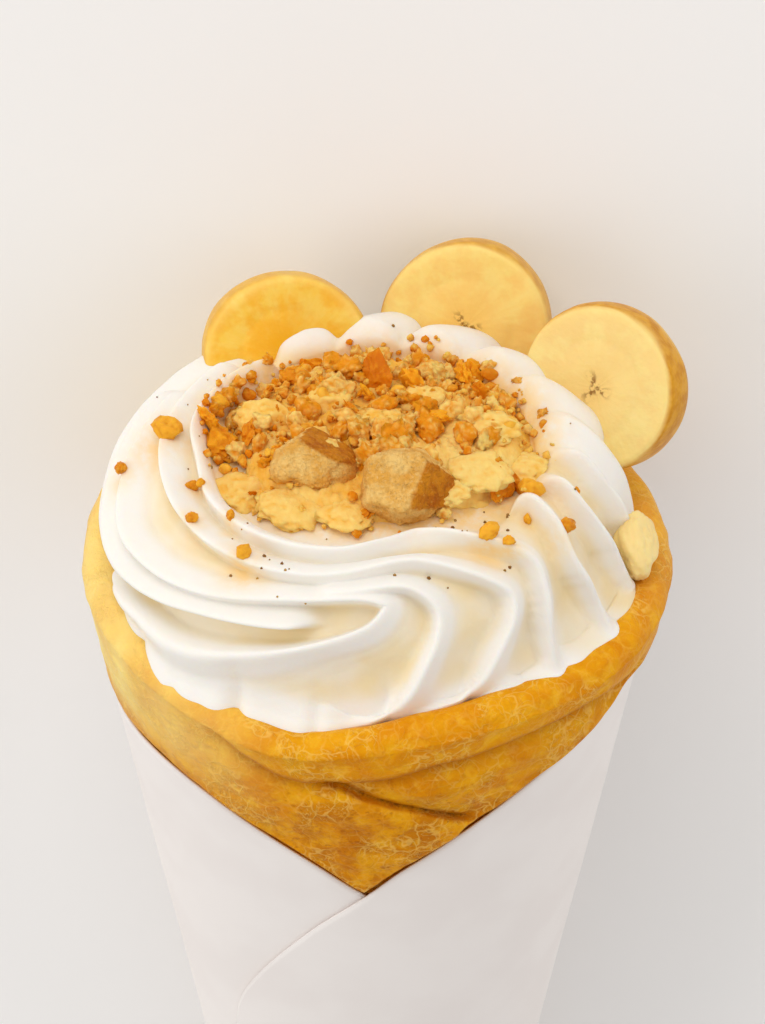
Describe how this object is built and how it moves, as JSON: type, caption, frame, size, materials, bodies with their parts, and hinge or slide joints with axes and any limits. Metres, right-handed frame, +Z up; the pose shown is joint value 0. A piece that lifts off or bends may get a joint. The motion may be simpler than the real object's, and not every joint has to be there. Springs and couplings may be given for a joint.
{
  "type": "crepe",
  "caption": "Rolled crepe cone in a plain paper sleeve, filled with piped cream, banana slices, biscuit pieces and crumbs, lying on its back.",
  "frame": {"origin": "on the floor under the middle of the bounding box of the lying crepe", "axes": "+Z up from the floor, +Y along the cone from its foot to its mouth, +X to the right of someone who looks at the open front of the sleeve with the mouth up"},
  "size_m": [0.0974, 0.2408, 0.0916],
  "materials": {
    "paper": "plain white uncoated paper, matte",
    "crepe": null,
    "cream": null,
    "banana": null,
    "biscuit": null,
    "crumbs": null
  },
  "bodies": {
    "root": {"paper": "paper", "crepe": "crepe", "cream": "cream", "banana_left": "banana", "banana_middle": "banana", "banana_right": "banana", "banana_end": "banana", "biscuit_left": "biscuit", "biscuit_right": "biscuit", "crumbs": "crumbs"}
  },
  "joints": []
}
